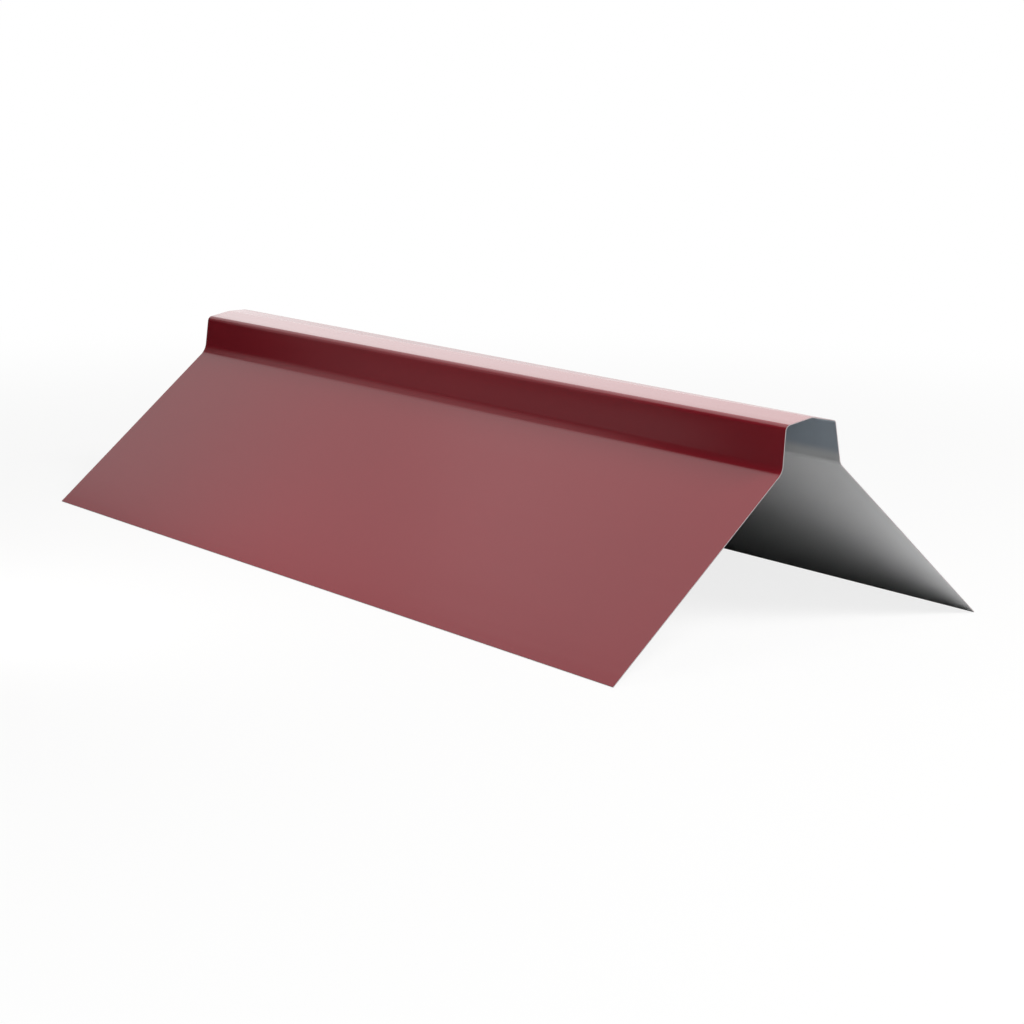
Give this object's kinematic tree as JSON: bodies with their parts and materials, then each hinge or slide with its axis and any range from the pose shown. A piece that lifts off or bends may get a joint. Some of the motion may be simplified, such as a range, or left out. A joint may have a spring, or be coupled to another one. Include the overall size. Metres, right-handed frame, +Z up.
{
  "type": "ridge flashing",
  "caption": "Folded sheet-steel ridge flashing: wide sloping wings joined by short walls and a low gabled cap, with plain cut ends and edges.",
  "frame": {"origin": "middle of the rectangle that the flashing covers, on the level floor where its two eave edges rest", "axes": "+Y along the ridge, +X across it to the right, +Z up through the crest of the cap"},
  "size_m": [0.2948, 0.625, 0.1346],
  "materials": {
    "coated_steel": "gloss wine-red coat on the upper face, light grey backing coat below, bare cut edges"
  },
  "bodies": {
    "root": {"ridge_flashing": "coated_steel"}
  },
  "joints": []
}
